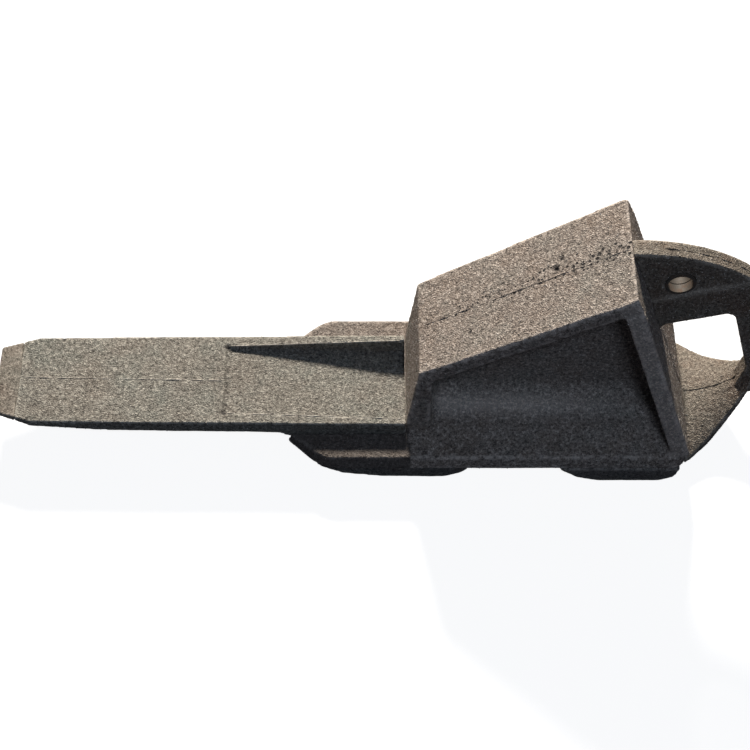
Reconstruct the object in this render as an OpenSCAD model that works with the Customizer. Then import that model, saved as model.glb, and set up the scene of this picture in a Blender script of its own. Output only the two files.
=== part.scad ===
// Bucket tooth for an excavator: a chisel point that knocks into a cast holder, with a lug at the back.
// Millimetres. +X runs to the back of the tooth, +Z up, and the tooth is symmetric about the plane Y = 0.
// The origin is under the middle of the tooth, at the level of the wear pads' undersides.

/* [Overall] */
// Length from the chisel edge to the back of the lug
tooth_length = 470; // [465:1:475]

/* [Point] */
// Width of the blade behind the chisel corners
blade_w = 60; // [56:0.5:60]
// Width of the point where its ribs meet the holder
shoulder_w = 64; // [63:0.5:65]
// Width of the chisel edge
chisel_w = 46; // [40:1:50]
// Thickness of the blade
blade_t = 9; // [8:0.5:10]
// Height of the blade's top above the ground
blade_top = 32.5; // [32:0.5:33.5]
// Length of the hard tip insert
tip_length = 13; // [10:1:16]
// Width of the tongue that enters the socket
tongue_w = 48; // [46:0.5:49]
// Length of the tongue
tongue_length = 75; // [68:1:76]

/* [Holder] */
// Width across the flange's wings
flange_w = 104; // [102:1:105]
// Thickness of the flange
flange_t = 9; // [8:0.5:9]
// Height of the flange's top above the ground
flange_top = 23; // [22.5:0.5:23]
// Width of the block's upper front edge
block_front_w = 67; // [66:0.5:69]
// Width of the block's upper back edge
block_back_w = 71; // [70:0.5:74]
// Height of the block's upper front edge
block_front_h = 86; // [82:1:90]
// Height of the block's upper back edge
block_back_h = 160.5; // [156:0.5:161.5]
// Thickness of the sloping top plate
top_plate_t = 10; // [8:0.5:12]
// Thickness of the end wall
end_wall_t = 10; // [9:0.5:12]
// Thickness of the upright web
web_t = 18; // [14:1:22]

/* [Lug] */
// Radius of the arched back edge
arch_r = 102; // [100:1:103]
// Thickness of the lug plate
lug_t = 11; // [10:0.5:12]
// Bore of the lug bushes
eye_bore = 14; // [12:0.5:15]
// Wall of the lug bushes
bush_wall = 1.5; // [1.5:0.25:2]

/* [Fasteners] */
// Thread size of the pad screws and of the lug screws
screw_d = 8; // [6:1:8]
// Thread size of the lock screw
lock_d = 12; // [10:1:14]

/* [Hidden] */
$fn = 64;

cast = "dimgray";
machined = "slategray";
eps = 0.01;
slip = 0.2;                                     // gap round the point, so that it slides
tall = 100;                                     // more than enough to cut through the lower parts

tip_x = -tooth_length / 2;                      // chisel edge
back_x = tooth_length / 2;                      // back of the arch
front_x = 10;                                   // foot of the block's front face
corner_x = tip_x + 23;                          // end of the chisel corners
pocket_x = -99;                                 // front end of the pocket
pocket_front_w = 47;
pocket_back_w = 55.5;
pocket_step = 1.5;                              // depth of the pocket at its front end
floor_z = 19.3;                                 // pocket floor, and top of the tongue, at the block
chisel_t = 3;                                   // thickness of the chisel edge
chisel_run = 60;                                // length over which the blade thins to that edge
heel_x = -66;                                   // where the blade's underside starts to drop
heel_drop = 2;
sole_x = -40;                                   // front end of the sole
sole_z = 11;                                    // underside of the point in its cradle
tip_tenon = [8, 28, 2];                         // length, width and thickness of the insert's tenon
tip_tenon_cover = 1.2;                          // steel above the tenon
tunnel_end_x = 52;                              // where the tunnel's roof meets the tongue
tongue_end_w = tongue_w - 8;
tongue_end_z = 14;                              // underside of the tongue at its end
lip_z = 33.5;                                   // lower edge of the block's front face

flange_z = flange_top - flange_t;
flange_front_x = -72;
wing_x = -33;                                   // where the wings reach their full width
flange_back_x = 176;
flange_corner_r = 9;
flange_draft = 0.945;                           // width of the flange's top over that of its underside
swell_w = shoulder_w - 8;                       // width at which the wings start
keel_x = -44;                                   // front end of the keel and of the front pad
keel_w = 56;
keel_z = 5;
housing_w = 60;                                 // base of the block, round the socket
housing_h = 37;
housing_r = 11;

front_edge = [front_x, lip_z];
top_front = [front_x + 6.5, block_front_h];
top_back = [129, block_back_h];
wall_top = [134, 149];                          // the end wall starts a little behind the top edge
wall_foot = [177, flange_top];
wall_front_t = 14;                              // front wall, which carries the lip
top_slope = atan2(top_back[1] - top_front[1], top_back[0] - top_front[0]);
function top_z(x) = top_front[1] + (x - top_front[0]) * tan(top_slope);

arch_x = back_x - arch_r;
arch_z = 59.7;
eye = [158, 135.5];
bush_gap = 0.6;                                 // slit between the two bushes
tenon = [[130, 176.8], 24, [15, 25]];           // x range, half width, z range
key_run = [4, 44];                              // start and length of the key down the end wall
key_depth = 6;
lock_x = 66;
lock_length = 7.9;
lock_nose = 0.9;                                // length of the lock screw's tapered nose
front_pad_w = 98;
pad_screw_y = 38;
pad_screws = [[-14, 24], [122, 156]];           // x of the front and the back pad's screws
lug_screw_x = [141, 161];
washer_t = 1.6;
head_h = 6;
head_d = 13;
lug_head_z = keel_z;
lug_screw_top = tenon[2][1] - 1.5;
pad_screw_top = 20;                             // end of the screw holes in the wings
head_sink = 0.6;                                // how far the screw heads lie inside the pads

// Half width of the tab along x: it tapers to the thickness of the lug plate
tab_x0 = 165;
tab_x1 = 218;
tab_half = 43.5;
tab_taper = 0.95;
function tab_half_w(x) = max(lug_t / 2, tab_half - tab_taper * max(0, x - flange_back_x - 2));
// Height of the tab's middle line, an arc that rises to the back
tab_z0 = 19;
tab_r = 48;
function tab_mid_z(x) = tab_z0 + tab_r - sqrt(tab_r * tab_r - pow(max(0, x - 172), 2));
// The tab is crowned, so that its edges lie lower than its middle
tab_crown = 9;
tab_t = 8;
tab_floor_z = 6;                                // lowest level of the tab's underside
tab_gap = 0.5;                                  // seam between the tab and the flange's back end
function tab_z(x, v) = tab_mid_z(x) - tab_crown * v * v * min(1, tab_half_w(x) / 30);

// Mirrors a half outline, given from front to back on the +Y side, into a whole one
function both_sides(half) = concat(half, [for (i = [len(half) - 1:-1:0]) [half[i][0], -half[i][1]]]);

// Extrudes an outline drawn in X and Z across the tooth's width
module across(width) rotate([90, 0, 0]) translate([0, 0, -width / 2]) linear_extrude(width) children();

// A tapering plate whose outer face runs from point a to point b in the plane Y = 0
module slab(a, b, width_a, width_b, t) {
    run = norm(b - a);
    turn = atan2(b[1] - a[1], b[0] - a[0]);
    translate([a[0], 0, a[1]]) rotate([0, -turn, 0]) translate([0, 0, -t])
        linear_extrude(t) polygon(both_sides([[0, width_a / 2], [run, width_b / 2]]));
}

// Side view of the point: flat top, chisel at the front, and a sole that drops into the holder's cradle
module point_side() polygon([[tip_x, blade_top], [tip_x, blade_top - chisel_t],
                             [tip_x + chisel_run, blade_top - blade_t],
                             [heel_x, blade_top - blade_t - heel_drop],
                             [sole_x, sole_z], [front_x, sole_z], [front_x, blade_top]]);

module blade_body() intersection() {
    linear_extrude(tall) polygon(both_sides([[tip_x, chisel_w / 2], [corner_x, blade_w / 2],
                                             [front_x, shoulder_w / 2]]));
    across(2 * shoulder_w) point_side();
}

// The open channel in the wings and in the front pad, where the point's sole sits and slides forwards
module cradle() translate([flange_front_x - 1, -shoulder_w / 2 - slip, sole_z - slip])
    cube([front_x - flange_front_x + 1, shoulder_w + 2 * slip, tall]);

// The tongue with a gap all round, as the socket that holds it
module tongue(gap) {
    end_x = front_x + tongue_length + gap;
    intersection() {
        linear_extrude(tall) polygon(both_sides([[front_x - 1, tongue_w / 2 + gap],
                                                 [end_x, tongue_end_w / 2 + gap]]));
        across(2 * shoulder_w) polygon([[front_x - 1, sole_z - gap], [end_x, tongue_end_z - gap],
                                        [end_x, floor_z + gap], [front_x - 1, floor_z + gap]]);
    }
}

// The hollow between the ribs, which deepens towards the block
module pocket() intersection() {
    linear_extrude(tall) polygon(both_sides([[pocket_x, pocket_front_w / 2], [front_x + 2, pocket_back_w / 2]]));
    across(2 * shoulder_w) polygon([[pocket_x, blade_top + 5], [pocket_x, blade_top - pocket_step],
                                    [front_x, floor_z], [front_x + 2, floor_z], [front_x + 2, blade_top + 5]]);
}

// The part of the blade between two places along its length
module blade_part(from_x, to_x) intersection() {
    blade_body();
    translate([from_x, -shoulder_w, 0]) cube([to_x - from_x, 2 * shoulder_w, tall]);
}

// The hard chisel, with a tenon that is brazed into the blade's nose
module tip_shape() {
    blade_part(tip_x - 1, tip_x + tip_length);
    translate([tip_x + tip_length - 1, -tip_tenon[1] / 2, blade_top - tip_tenon[2] - tip_tenon_cover])
        cube([tip_tenon[0] + 1, tip_tenon[1], tip_tenon[2]]);
}

module point() color(cast) difference() {
    union() {
        blade_part(tip_x + tip_length, front_x - slip);
        tongue(0);
    }
    pocket();
    tip_shape();
}

module tip_insert() color(machined) tip_shape();

// Plan of the flange: the wings swell out beside the blade and run straight to the back
module flange_plan() {
    swell = [for (i = [0:8]) [flange_front_x + (wing_x - flange_front_x) * i / 8,
                              swell_w / 2 + (flange_w - swell_w) / 2 * (1 - cos(180 * i / 8)) / 2]];
    corner = [for (a = [90:-15:0]) [flange_back_x - flange_corner_r + flange_corner_r * cos(a),
                                    flange_w / 2 - flange_corner_r + flange_corner_r * sin(a)]];
    polygon(both_sides(concat(swell, corner)));
}

// The block's base: a long housing with round shoulders, which holds the socket
module housing() translate([front_x + 4, 0, 0]) rotate([90, 0, 90]) linear_extrude(150) {
    translate([-housing_w / 2, flange_z]) square([housing_w, housing_h - housing_r - flange_z]);
    translate([-housing_w / 2 + housing_r, flange_z]) square([housing_w - 2 * housing_r, housing_h - flange_z]);
    for (s = [-1, 1]) translate([s * (housing_w / 2 - housing_r), housing_h - housing_r]) circle(housing_r);
}

// The block seen from the side, from the front face over the sloping top to the foot of the end wall
module block_side() polygon([[front_x, flange_z + 1], front_edge, top_front, top_back, wall_top, wall_foot,
                             [wall_foot[0], flange_z + 1]]);

// Front wall, sloping top plate and web: a tapering wedge with a deep recess in each side
module wedge() {
    recess_x = front_x + wall_front_t;
    plate_drop = top_plate_t / cos(top_slope);
    difference() {
        intersection() {
            across(2 * flange_w) block_side();
            linear_extrude(2 * tall) polygon(both_sides([[front_x - 1, shoulder_w / 2],
                                                         [top_back[0] + 1, block_back_w / 2],
                                                         [wall_foot[0] + 1, block_back_w / 2]]));
        }
        for (s = [-1, 1]) translate([0, s * (flange_w + web_t) / 2, 0]) across(flange_w)
            polygon([[recess_x, flange_z], [recess_x, top_z(recess_x) - plate_drop],
                     [back_x, top_z(back_x) - plate_drop], [back_x, flange_z]]);
    }
}

// The leaning end wall, which flares out to the flange's width at its foot
module end_wall() intersection() {
    across(2 * flange_w) block_side();
    slab(wall_top, wall_foot, block_back_w + 2, flange_draft * flange_w - 1, end_wall_t);
}

// The tunnel behind the pocket, over the tongue, whose roof comes down to the tongue
module tunnel() intersection() {
    linear_extrude(tall) polygon(both_sides([[front_x - 1, pocket_back_w / 2], [tunnel_end_x, tongue_w / 2 - 2]]));
    across(2 * shoulder_w) polygon([[front_x - 1, floor_z], [front_x - 1, lip_z], [front_x + 4, lip_z],
                                    [tunnel_end_x, floor_z]]);
}

// The lug's key, in the end wall's own slope, a little thinner than the lug plate
module wall_key(depth) {
    key_t = lug_t - 3;
    turn = atan2(wall_foot[1] - wall_top[1], wall_foot[0] - wall_top[0]);
    translate([wall_top[0], 0, wall_top[1]]) rotate([0, -turn, 0])
        translate([key_run[0], -key_t / 2, -depth]) cube([key_run[1], key_t, depth + 3]);
}

module tenon_block() translate([tenon[0][0], -tenon[1], tenon[2][0]])
    cube([tenon[0][1] - tenon[0][0], 2 * tenon[1], tenon[2][1] - tenon[2][0]]);

module holder() color(cast) difference() {
    union() {
        translate([0, 0, flange_z]) linear_extrude(flange_t, scale = [1, flange_draft]) flange_plan();
        translate([keel_x, -keel_w / 2, keel_z])
            cube([flange_back_x - keel_x - 4, keel_w, flange_z - keel_z + eps]);
        wedge();
        end_wall();
        housing();
    }
    cradle();
    tongue(slip);
    tunnel();
    wall_key(key_depth);
    tenon_block();
    translate([lock_x, 0, 0]) cylinder(d = lock_d + 0.1, h = tongue_end_z);
    for (x = lug_screw_x) translate([x, 0, 0]) {
        cylinder(d = head_d + 1, h = lug_head_z + head_h + washer_t);
        cylinder(d = screw_d, h = tenon[2][1]);
    }
    for (xs = pad_screws, x = xs, s = [-1, 1]) translate([x, s * pad_screw_y, 0])
        cylinder(d = screw_d, h = pad_screw_top);
}

// The opening between the lug plate, the end wall and the tab
module window() {
    corner_r = 6;
    points = [[159.5, 92], [188.5, 101], [195.5, 76], [203.5, 52], [201, 37], [189, 27], [176, 24.5]];
    hull() for (p = points) translate(p) circle(corner_r, $fn = 32);
}

module lug_plate() difference() {
    across(lug_t) difference() {
        intersection() {
            translate([arch_x, arch_z]) circle(arch_r, $fn = 128);
            polygon([wall_top, top_back, [top_back[0], arch_z + arch_r], [back_x, arch_z + arch_r],
                     [back_x, 38], [back_x - 9, 30], [200, 20], wall_foot]);
        }
        window();
    }
    translate([eye[0], 0, eye[1]]) rotate([90, 0, 0])
        cylinder(d = eye_bore + 2 * bush_wall, h = 2 * lug_t, center = true);
    for (s = [-1, 1]) lug_panel(s);
}

// A shallow sunk panel round the eye, between the arched rim and the window's rim
module lug_panel(side) translate([0, side * (lug_t / 2 + 0.6), 0]) across(3) intersection() {
    translate([arch_x, arch_z]) circle(arch_r - 9, $fn = 128);
    polygon([[147, 170], [151, 122], [215, 143], [215, 170]]);
}

// The crowned tab, as a shell of points over a grid: u runs back and v across
module tab() {
    nu = 14;
    nv = 12;
    row = nv + 1;
    function x_at(i) = tab_x0 + (tab_x1 - tab_x0) * sin(90 * i / nu);
    top = [for (i = [0:nu], j = [0:nv]) let (x = x_at(i), v = 2 * j / nv - 1)
           [x, v * tab_half_w(x), tab_z(x, v)]];
    low = [for (p = top) [p[0], p[1], max(tab_floor_z, p[2] - tab_t)]];
    n = len(top);
    quads = [for (i = [0:nu - 1], j = [0:nv - 1]) let (a = i * row + j) [a, a + 1, a + row + 1, a + row]];
    ends = [for (i = [0, nu], j = [0:nv - 1]) let (a = i * row + j)
            i == 0 ? [a, a + n, a + 1 + n, a + 1] : [a, a + 1, a + 1 + n, a + n]];
    sides = [for (i = [0:nu - 1], j = [0, nv]) let (a = i * row + j)
             j == 0 ? [a, a + row, a + row + n, a + n] : [a, a + n, a + row + n, a + row]];
    under = [for (q = quads) [q[3] + n, q[2] + n, q[1] + n, q[0] + n]];
    polyhedron(concat(top, low), concat(quads, under, ends, sides));
}

module rear_lug() color(cast) difference() {
    union() {
        lug_plate();
        intersection() {
            tab();
            translate([flange_back_x + tab_gap, -flange_w, 0]) cube([tall, 2 * flange_w, tall]);
        }
        wall_key(key_depth);
        tenon_block();
    }
    for (x = lug_screw_x) translate([x, 0, 0]) cylinder(d = screw_d, h = lug_screw_top);
}

// One half of the eye's lining: a plain bush pressed in from one side of the lug
module eye_bush(side) {
    length = (lug_t - bush_gap) / 2;
    translate([eye[0], side * (bush_gap + length) / 2, eye[1]]) rotate([90, 0, 0]) difference() {
        cylinder(d = eye_bore + 2 * bush_wall, h = length, center = true);
        cylinder(d = eye_bore, h = lug_t, center = true);
    }
}

module lug_bush_left() color(machined) eye_bush(-1);

module lug_bush_right() color(machined) eye_bush(1);

// A hexagon key's socket, open downwards
module hex_socket(across_flats, depth) translate([0, 0, -1])
    cylinder(d = across_flats / cos(30), h = depth + 1, $fn = 6);

module lock_screw() color(machined) translate([lock_x, 0, keel_z]) difference() {
    union() {
        cylinder(d = lock_d, h = lock_length - lock_nose);
        translate([0, 0, lock_length - lock_nose]) cylinder(d1 = lock_d, d2 = lock_d - 3, h = lock_nose);
    }
    hex_socket(6, 4);
}

// A wear pad: a shoe under the wings that straddles the keel
module pad(width, profile, xs) difference() {
    across(width) polygon(profile);
    translate([-tall, -keel_w / 2, keel_z]) cube([4 * tall, keel_w, flange_z]);
    for (x = xs, s = [-1, 1]) translate([x, s * pad_screw_y, 0]) {
        cylinder(d = screw_d, h = flange_z);
        translate([0, 0, head_sink]) cylinder(d1 = 2 * screw_d, d2 = screw_d, h = screw_d / 2);
        translate([0, 0, -1]) cylinder(d = 2 * screw_d, h = head_sink + 1);
    }
}

module front_pad() color(cast) difference() {
    pad(front_pad_w, [[keel_x, flange_z], [-28, 4], [-6, 0], [34, 0], [44, 5], [50, flange_z]], pad_screws[0]);
    cradle();
}

module rear_pad() color(cast)
    pad(flange_w, [[100, flange_z], [112, 4], [124, 0], [162, 0], [170, 4], [flange_back_x - 3, flange_z]],
        pad_screws[1]);

// Countersunk screws with a hexagon socket, from below
module pad_screw_row(xs) for (x = xs, s = [-1, 1]) translate([x, s * pad_screw_y, head_sink]) difference() {
    union() {
        cylinder(d1 = 2 * screw_d, d2 = screw_d, h = screw_d / 2);
        cylinder(d = screw_d, h = pad_screw_top - 0.4 - head_sink);
    }
    hex_socket(5, 3);
}

module front_pad_screws() color(machined) pad_screw_row(pad_screws[0]);

module rear_pad_screws() color(machined) pad_screw_row(pad_screws[1]);

// Socket head screws that pull the lug's tenon down, covered by the back pad
module lug_screws() color(machined) for (x = lug_screw_x) translate([x, 0, lug_head_z]) difference() {
    union() {
        cylinder(d = head_d, h = head_h);
        cylinder(d = screw_d, h = lug_screw_top - lug_head_z);
    }
    hex_socket(5, 3);
}

module lug_washers() color(machined) for (x = lug_screw_x) translate([x, 0, lug_head_z + head_h]) difference() {
    cylinder(d = head_d, h = washer_t);
    translate([0, 0, -1]) cylinder(d = screw_d, h = washer_t + 2);
}

point();
tip_insert();
holder();
rear_lug();
lug_bush_left();
lug_bush_right();
lock_screw();
front_pad();
rear_pad();
front_pad_screws();
rear_pad_screws();
lug_screws();
lug_washers();
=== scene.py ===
# %% [markdown]
# # A bucket tooth, raw from the sand mould
#
# The real tooth is steel poured into sand. Sand leaves three marks: every inside corner is a generous
# fillet, every outside edge (an arris) is slightly round, and every face carries a grain. A parting line
# runs round the middle, where the two halves of the mould met. The plan here is to keep the exact CAD
# model as the frame, and to grow a cast skin over each heavy piece.

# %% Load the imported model
import math

import bmesh
import bpy
import numpy as np
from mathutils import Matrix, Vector, noise


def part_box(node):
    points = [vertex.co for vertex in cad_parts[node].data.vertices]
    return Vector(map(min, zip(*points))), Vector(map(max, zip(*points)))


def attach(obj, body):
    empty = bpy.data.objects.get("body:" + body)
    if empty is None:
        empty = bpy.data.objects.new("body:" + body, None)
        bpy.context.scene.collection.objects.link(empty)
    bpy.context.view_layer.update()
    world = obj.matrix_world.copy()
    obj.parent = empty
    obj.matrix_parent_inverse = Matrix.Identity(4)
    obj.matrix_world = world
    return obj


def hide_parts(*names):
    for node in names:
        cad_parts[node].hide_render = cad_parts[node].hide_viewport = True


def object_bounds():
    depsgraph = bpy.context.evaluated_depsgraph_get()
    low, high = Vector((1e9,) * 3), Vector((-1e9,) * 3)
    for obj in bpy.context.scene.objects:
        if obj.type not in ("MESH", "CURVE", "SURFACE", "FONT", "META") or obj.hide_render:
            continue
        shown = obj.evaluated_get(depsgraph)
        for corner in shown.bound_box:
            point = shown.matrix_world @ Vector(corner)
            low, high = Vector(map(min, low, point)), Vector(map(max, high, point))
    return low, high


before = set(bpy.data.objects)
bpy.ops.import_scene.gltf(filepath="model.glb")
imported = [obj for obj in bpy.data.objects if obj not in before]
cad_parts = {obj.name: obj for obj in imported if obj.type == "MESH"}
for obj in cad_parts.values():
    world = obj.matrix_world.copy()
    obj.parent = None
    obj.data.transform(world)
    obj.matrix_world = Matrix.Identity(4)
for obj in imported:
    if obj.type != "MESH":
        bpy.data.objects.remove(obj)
cad_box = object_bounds()
print("CAD nodes:", sorted(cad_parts))
print("CAD box, m:", [tuple(round(v, 4) for v in corner) for corner in cad_box])

# %% [markdown]
# ## Where things are
#
# Where a box tells enough, positions come from the boxes of the CAD nodes. A box can't tell a slope, so
# the two sloping faces are given by their end points. The tooth lies along X, its middle plane is Y = 0,
# and the pads stand on Z = 0.

# %% Measure the frame
MM = 0.001
point_low, point_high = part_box("point")
holder_low, holder_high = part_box("holder")
lug_low, lug_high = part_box("rear_lug")
bush_low, bush_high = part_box("lug_bush_left")

blade_top = point_high.z
top_front = Vector((16.5 * MM, 0, 86 * MM))
top_back = Vector((129 * MM, 0, 160.5 * MM))
wall_top = Vector((134 * MM, 0, 149 * MM))
wall_foot = Vector((177 * MM, 0, 23 * MM))
top_along = (top_back - top_front).normalized()
top_up = Vector((-top_along.z, 0, top_along.x))
arch_r = 102 * MM
arch_centre = Vector((lug_high.x - arch_r, 0, lug_high.z - arch_r))
eye = Vector(((bush_low.x + bush_high.x) / 2, 0, (bush_low.z + bush_high.z) / 2))
print("holder length, m:", round(holder_high.x - holder_low.x, 4))
print("lug length, m:", round(lug_high.x - lug_low.x, 4))
print("arch centre", arch_centre, "eye", eye)

# %% [markdown]
# ## Camera
#
# The tooth is seen from above its near side. A long lens far away keeps the edges nearly parallel, so the
# taper of the blade reads as real taper and not as perspective.

# %% Camera
CAMERA_ELEVATION = math.radians(57)
CAMERA_DISTANCE = 0.96
LENS_MM = 76.8
look_at = Vector((-8.4 * MM, 0, 32.4 * MM))
back = Vector((0, -math.cos(CAMERA_ELEVATION), math.sin(CAMERA_ELEVATION)))
camera_up = Vector((0, math.sin(CAMERA_ELEVATION), math.cos(CAMERA_ELEVATION)))
look_at += camera_up * 2.4 * MM

camera_data = bpy.data.cameras.new("camera")
camera_data.lens = LENS_MM
camera_data.sensor_width = 36
camera = bpy.data.objects.new("camera", camera_data)
camera.location = look_at + back * CAMERA_DISTANCE
camera.rotation_mode = "QUATERNION"
camera.rotation_quaternion = (-back).to_track_quat("-Z", "Y")
bpy.context.scene.collection.objects.link(camera)
bpy.context.scene.camera = camera
bpy.context.scene.view_settings.view_transform = "Standard"
print("camera at", camera.location)

# %% [markdown]
# ## Floor and light
#
# One soft window stands behind the tooth, rather low, so the grain on every upper face throws a tiny
# shadow and the near side stays dark. A weak cool window high on the near side fills it, and shows up the
# round fillets. The floor is a plain pale sheet that glows a little, as a light table does, so the shadow
# on it stays faint. A white floor would throw so much light up that the dark side would vanish, so for
# bounced light alone it is a darker grey.

# %% Stage
def area_light(name, direction, distance, size, power, colour):
    data = bpy.data.lights.new(name, "AREA")
    data.shape = "DISK"
    data.size = size
    data.energy = power
    data.color = colour
    lamp = bpy.data.objects.new(name, data)
    lamp.location = look_at + Vector(direction).normalized() * distance
    lamp.rotation_mode = "QUATERNION"
    lamp.rotation_quaternion = Vector(direction).to_track_quat("Z", "Y")
    bpy.context.scene.collection.objects.link(lamp)
    return lamp


SHEET_COLOUR = (0.30, 0.30, 0.30)
GLOW_COLOUR = (0.90, 0.90, 0.90)
BOUNCE_COLOUR = (0.07, 0.07, 0.085)


def make_floor(name, half, level):
    mesh = bpy.data.meshes.new(name)
    corners = [(-half, -half, level), (half, -half, level), (half, half, level), (-half, half, level)]
    mesh.from_pydata(corners, [], [(0, 1, 2, 3)])
    floor = bpy.data.objects.new(name, mesh)
    bpy.context.scene.collection.objects.link(floor)
    material = bpy.data.materials.new("floor_sheet")
    material.use_nodes = True
    nodes = material.node_tree.nodes
    links = material.node_tree.links
    nodes.clear()
    out = nodes.new("ShaderNodeOutputMaterial")
    mix = nodes.new("ShaderNodeMixShader")
    seen = nodes.new("ShaderNodeAddShader")
    sheet = nodes.new("ShaderNodeBsdfDiffuse")
    glow = nodes.new("ShaderNodeEmission")
    bounced = nodes.new("ShaderNodeBsdfDiffuse")
    path = nodes.new("ShaderNodeLightPath")
    sheet.inputs["Color"].default_value = (*SHEET_COLOUR, 1)
    glow.inputs["Color"].default_value = (*GLOW_COLOUR, 1)
    bounced.inputs["Color"].default_value = (*BOUNCE_COLOUR, 1)
    links.new(sheet.outputs[0], seen.inputs[0])
    links.new(glow.outputs[0], seen.inputs[1])
    links.new(path.outputs["Is Camera Ray"], mix.inputs["Fac"])
    links.new(bounced.outputs[0], mix.inputs[1])
    links.new(seen.outputs[0], mix.inputs[2])
    links.new(mix.outputs[0], out.inputs["Surface"])
    mesh.materials.append(material)
    return floor


FLOOR_DROP = 0.2 * MM
SKY_STRENGTH = 0.040
make_floor("floor", half=6.0, level=-FLOOR_DROP)
area_light("key_window", direction=(-0.04, 0.82, 0.57), distance=2.4, size=0.38, power=136,
           colour=(1.0, 0.93, 0.84))
area_light("near_fill", direction=(0.05, -0.60, 1.00), distance=2.2, size=0.35, power=9.5,
           colour=(0.62, 0.76, 1.0))

world = bpy.data.worlds.new("sky")
bpy.context.scene.world = world
world.use_nodes = True
sky = world.node_tree.nodes["Background"]
sky.inputs["Color"].default_value = (0.60, 0.74, 1.0, 1)
sky.inputs["Strength"].default_value = SKY_STRENGTH

# %% [markdown]
# ## Growing a cast skin
#
# A CAD solid has knife-sharp edges. One way to soften them is a bevel, but bevels trip over the many
# places where several plates meet. A foundry works the other way round: the pattern maker presses wax
# into every inside corner. The same is done here with a voxel skin. The solid is remeshed into small even
# squares. Then each point looks at its neighbours: where they stand above it the corner is hollow, and
# the point rises until the fillet has the radius asked for. Where they lie below it the edge is sharp,
# and the point sinks until the arris is round.

# %% From a CAD solid to an even skin
def closed_copy(node):
    """The CAD node's mesh with its loose triangles welded together."""
    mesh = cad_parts[node].data.copy()
    shape = bmesh.new()
    shape.from_mesh(mesh)
    bmesh.ops.remove_doubles(shape, verts=shape.verts, dist=1e-6)
    shape.to_mesh(mesh)
    shape.free()
    mesh.materials.clear()
    return mesh


def voxel_skin(name, mesh, voxel):
    """A new object whose mesh is the given solid, remeshed to squares of about that size."""
    piece = bpy.data.objects.new(name, mesh)
    bpy.context.scene.collection.objects.link(piece)
    remesh = piece.modifiers.new("skin", "REMESH")
    remesh.mode = "VOXEL"
    remesh.voxel_size = voxel
    skinned = bpy.data.meshes.new_from_object(piece.evaluated_get(bpy.context.evaluated_depsgraph_get()))
    piece.modifiers.clear()
    piece.data = skinned
    skinned.name = name
    return piece


def read_points(mesh):
    points = np.empty(len(mesh.vertices) * 3, np.float32)
    mesh.vertices.foreach_get("co", points)
    return points.reshape(-1, 3).astype(np.float64)


def write_points(mesh, points):
    mesh.vertices.foreach_set("co", points.astype(np.float32).ravel())
    mesh.update()


def read_normals(mesh):
    normals = np.empty(len(mesh.vertices) * 3, np.float32)
    mesh.vertex_normals.foreach_get("vector", normals)
    return normals.reshape(-1, 3).astype(np.float64)


class Neighbours:
    """The edges of a mesh, ready to average a value over each point's neighbours."""

    def __init__(self, mesh):
        ends = np.empty(len(mesh.edges) * 2, np.int32)
        mesh.edges.foreach_get("vertices", ends)
        ends = ends.reshape(-1, 2)
        self.count = len(mesh.vertices)
        self.here = np.concatenate([ends[:, 0], ends[:, 1]])
        self.there = np.concatenate([ends[:, 1], ends[:, 0]])
        self.degree = np.maximum(np.bincount(self.here, minlength=self.count), 1)

    def mean(self, values):
        if values.ndim == 1:
            return np.bincount(self.here, values[self.there], self.count) / self.degree
        return np.stack([self.mean(values[:, k]) for k in range(values.shape[1])], 1)


# %% Rounding corners by their own curvature
NORMALS_EVERY = 3
RISE_SHARE = 0.65
SLIDE_SHARE = 0.25


def round_corners(piece, hollow_r, arris_r, steps):
    """Fills hollow corners to radius hollow_r and rounds sharp arrises to radius arris_r."""
    mesh = piece.data
    near = Neighbours(mesh)
    points = read_points(mesh)
    start, end = points[near.here], points[near.there]
    step_length = np.linalg.norm(end - start, axis=1).mean()
    hollow_limit = step_length**2 / (4 * hollow_r)
    arris_limit = step_length**2 / (4 * arris_r)
    for step in range(steps):
        if step % NORMALS_EVERY == 0:
            write_points(mesh, points)
            normals = read_normals(mesh)
        pull = near.mean(points) - points
        rise = (pull * normals).sum(1)
        move = np.maximum(rise - hollow_limit, 0) + np.minimum(rise + arris_limit, 0)
        slide = pull - rise[:, None] * normals
        points += RISE_SHARE * move[:, None] * normals + SLIDE_SHARE * slide
    write_points(mesh, points)
    return near, points


def store(mesh, name, values):
    attribute = mesh.attributes.new(name, "FLOAT", "POINT")
    attribute.data.foreach_set("value", np.clip(values, 0, 1).astype(np.float32))


def mark_edges(piece, near, points):
    """Stores how sharp each arris is, and how deep each hollow, for the materials to read."""
    mesh = piece.data
    write_points(mesh, points)
    normals = read_normals(mesh)
    bend = ((near.mean(points) - points) * normals).sum(1)
    for _ in range(2):
        bend = near.mean(bend)
    scale = max(1e-9, np.percentile(np.abs(bend), 97))
    hollow = np.maximum(bend, 0) / scale
    for _ in range(8):
        hollow = np.maximum(hollow, near.mean(hollow))
        hollow = 0.5 * hollow + 0.5 * near.mean(hollow)
    store(mesh, "arris", np.maximum(-bend, 0) / scale)
    store(mesh, "hollow", hollow)


# %% [markdown]
# ## Waves and grain in the surface
#
# No sand face is flat. A slow wave of a few tenths of a millimetre comes from the mould, and a finer one
# from the sand. The mesh carries both. Anything finer than its squares is left to the material. At the
# end the points are held inside the node's own box, so that the skin never grows past the CAD model.

# %% Relief
WAVE_HEIGHT = 0.16 * MM
WAVE_SIZE = 22 * MM
GRAIN_HEIGHT = 0.10 * MM
GRAIN_SIZE = 2.6 * MM


def relief(points, size, seed):
    """Smooth noise between about -1 and 1, with bumps of that size in metres."""
    shift = Vector((seed * 7.1, seed * 3.7, seed * 5.3))
    return np.array([noise.noise(Vector(p) / size + shift) for p in points])


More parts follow.
